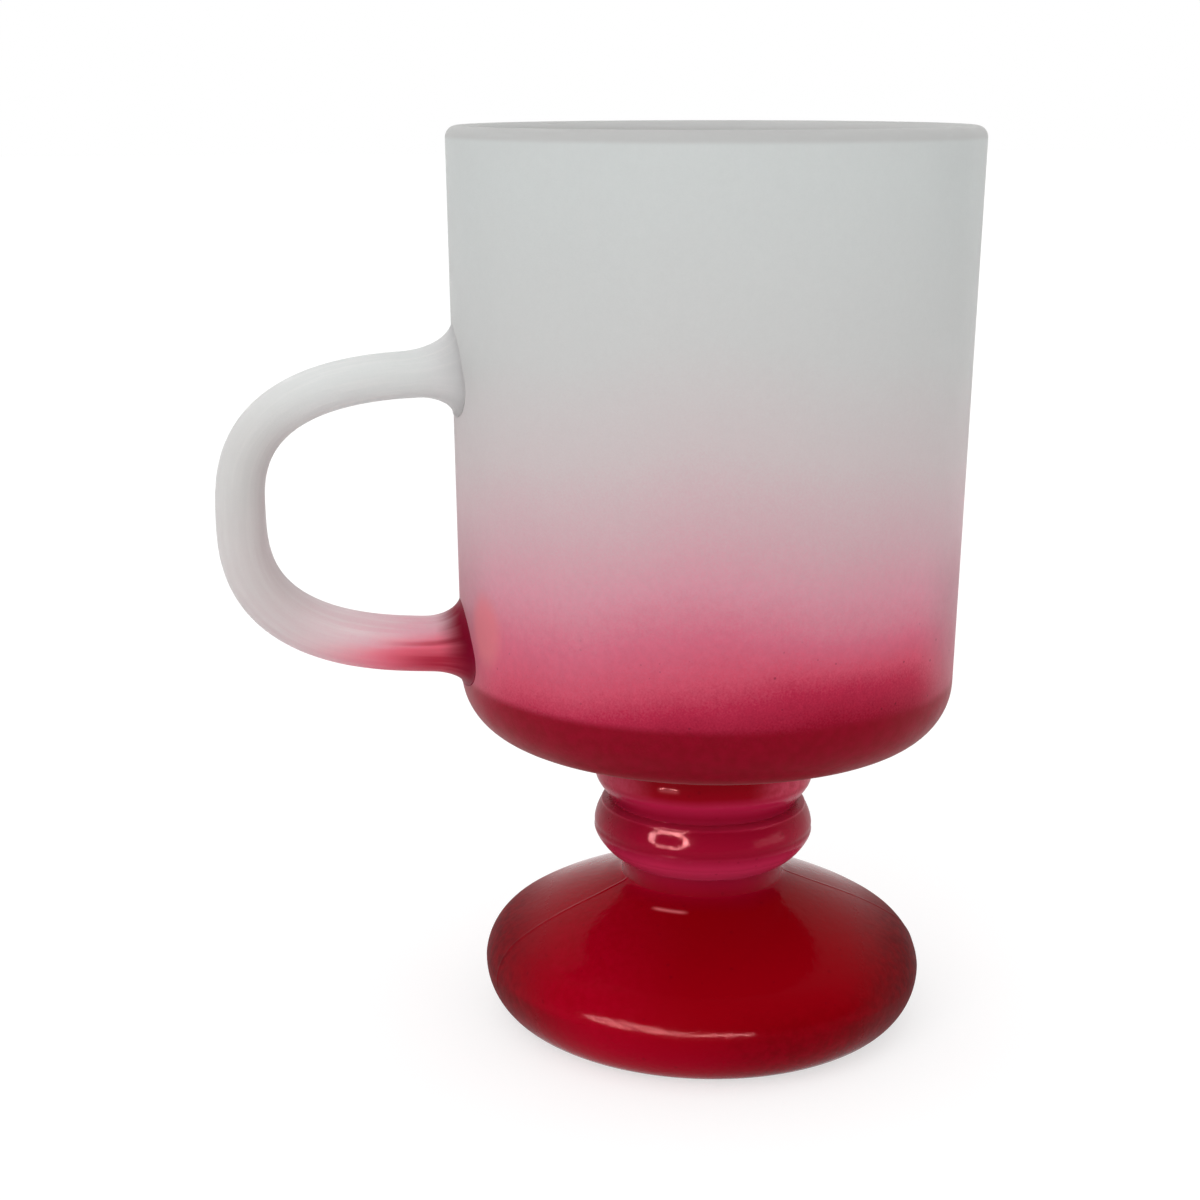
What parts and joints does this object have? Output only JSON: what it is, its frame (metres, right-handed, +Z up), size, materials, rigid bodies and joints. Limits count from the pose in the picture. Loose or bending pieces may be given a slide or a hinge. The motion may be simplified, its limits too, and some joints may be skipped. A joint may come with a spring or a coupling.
{
  "type": "footed glass mug",
  "caption": "Tall frosted glass cup with a D-shaped side handle, on a short turned stem with a knop and a heavy domed foot, for hot drinks.",
  "frame": {"origin": "on the table under the middle of the whole mug, handle included; the cup's own axis is upright at x = 0.0165 m, y = 0", "axes": "+Z up along the cup's axis, -X towards the handle, Y across the handle's plane of symmetry"},
  "size_m": [0.108, 0.075, 0.131],
  "materials": {
    "frosted_cup": "frosted glass, sprayed on the outside from clear white at the rim to deep red at the base",
    "frosted_handle": "frosted glass, white above and rose to red towards the lower pad",
    "red_stem": "deep red sprayed coat over glass, satin with soft highlights",
    "red_foot": "deep red sprayed coat over glass, satin with soft highlights"
  },
  "bodies": {
    "root": {"bowl": "frosted_cup", "handle": "frosted_handle", "stem_collar": "red_stem", "stem_knop": "red_stem", "stem_neck": "red_stem", "foot": "red_foot"}
  },
  "joints": []
}
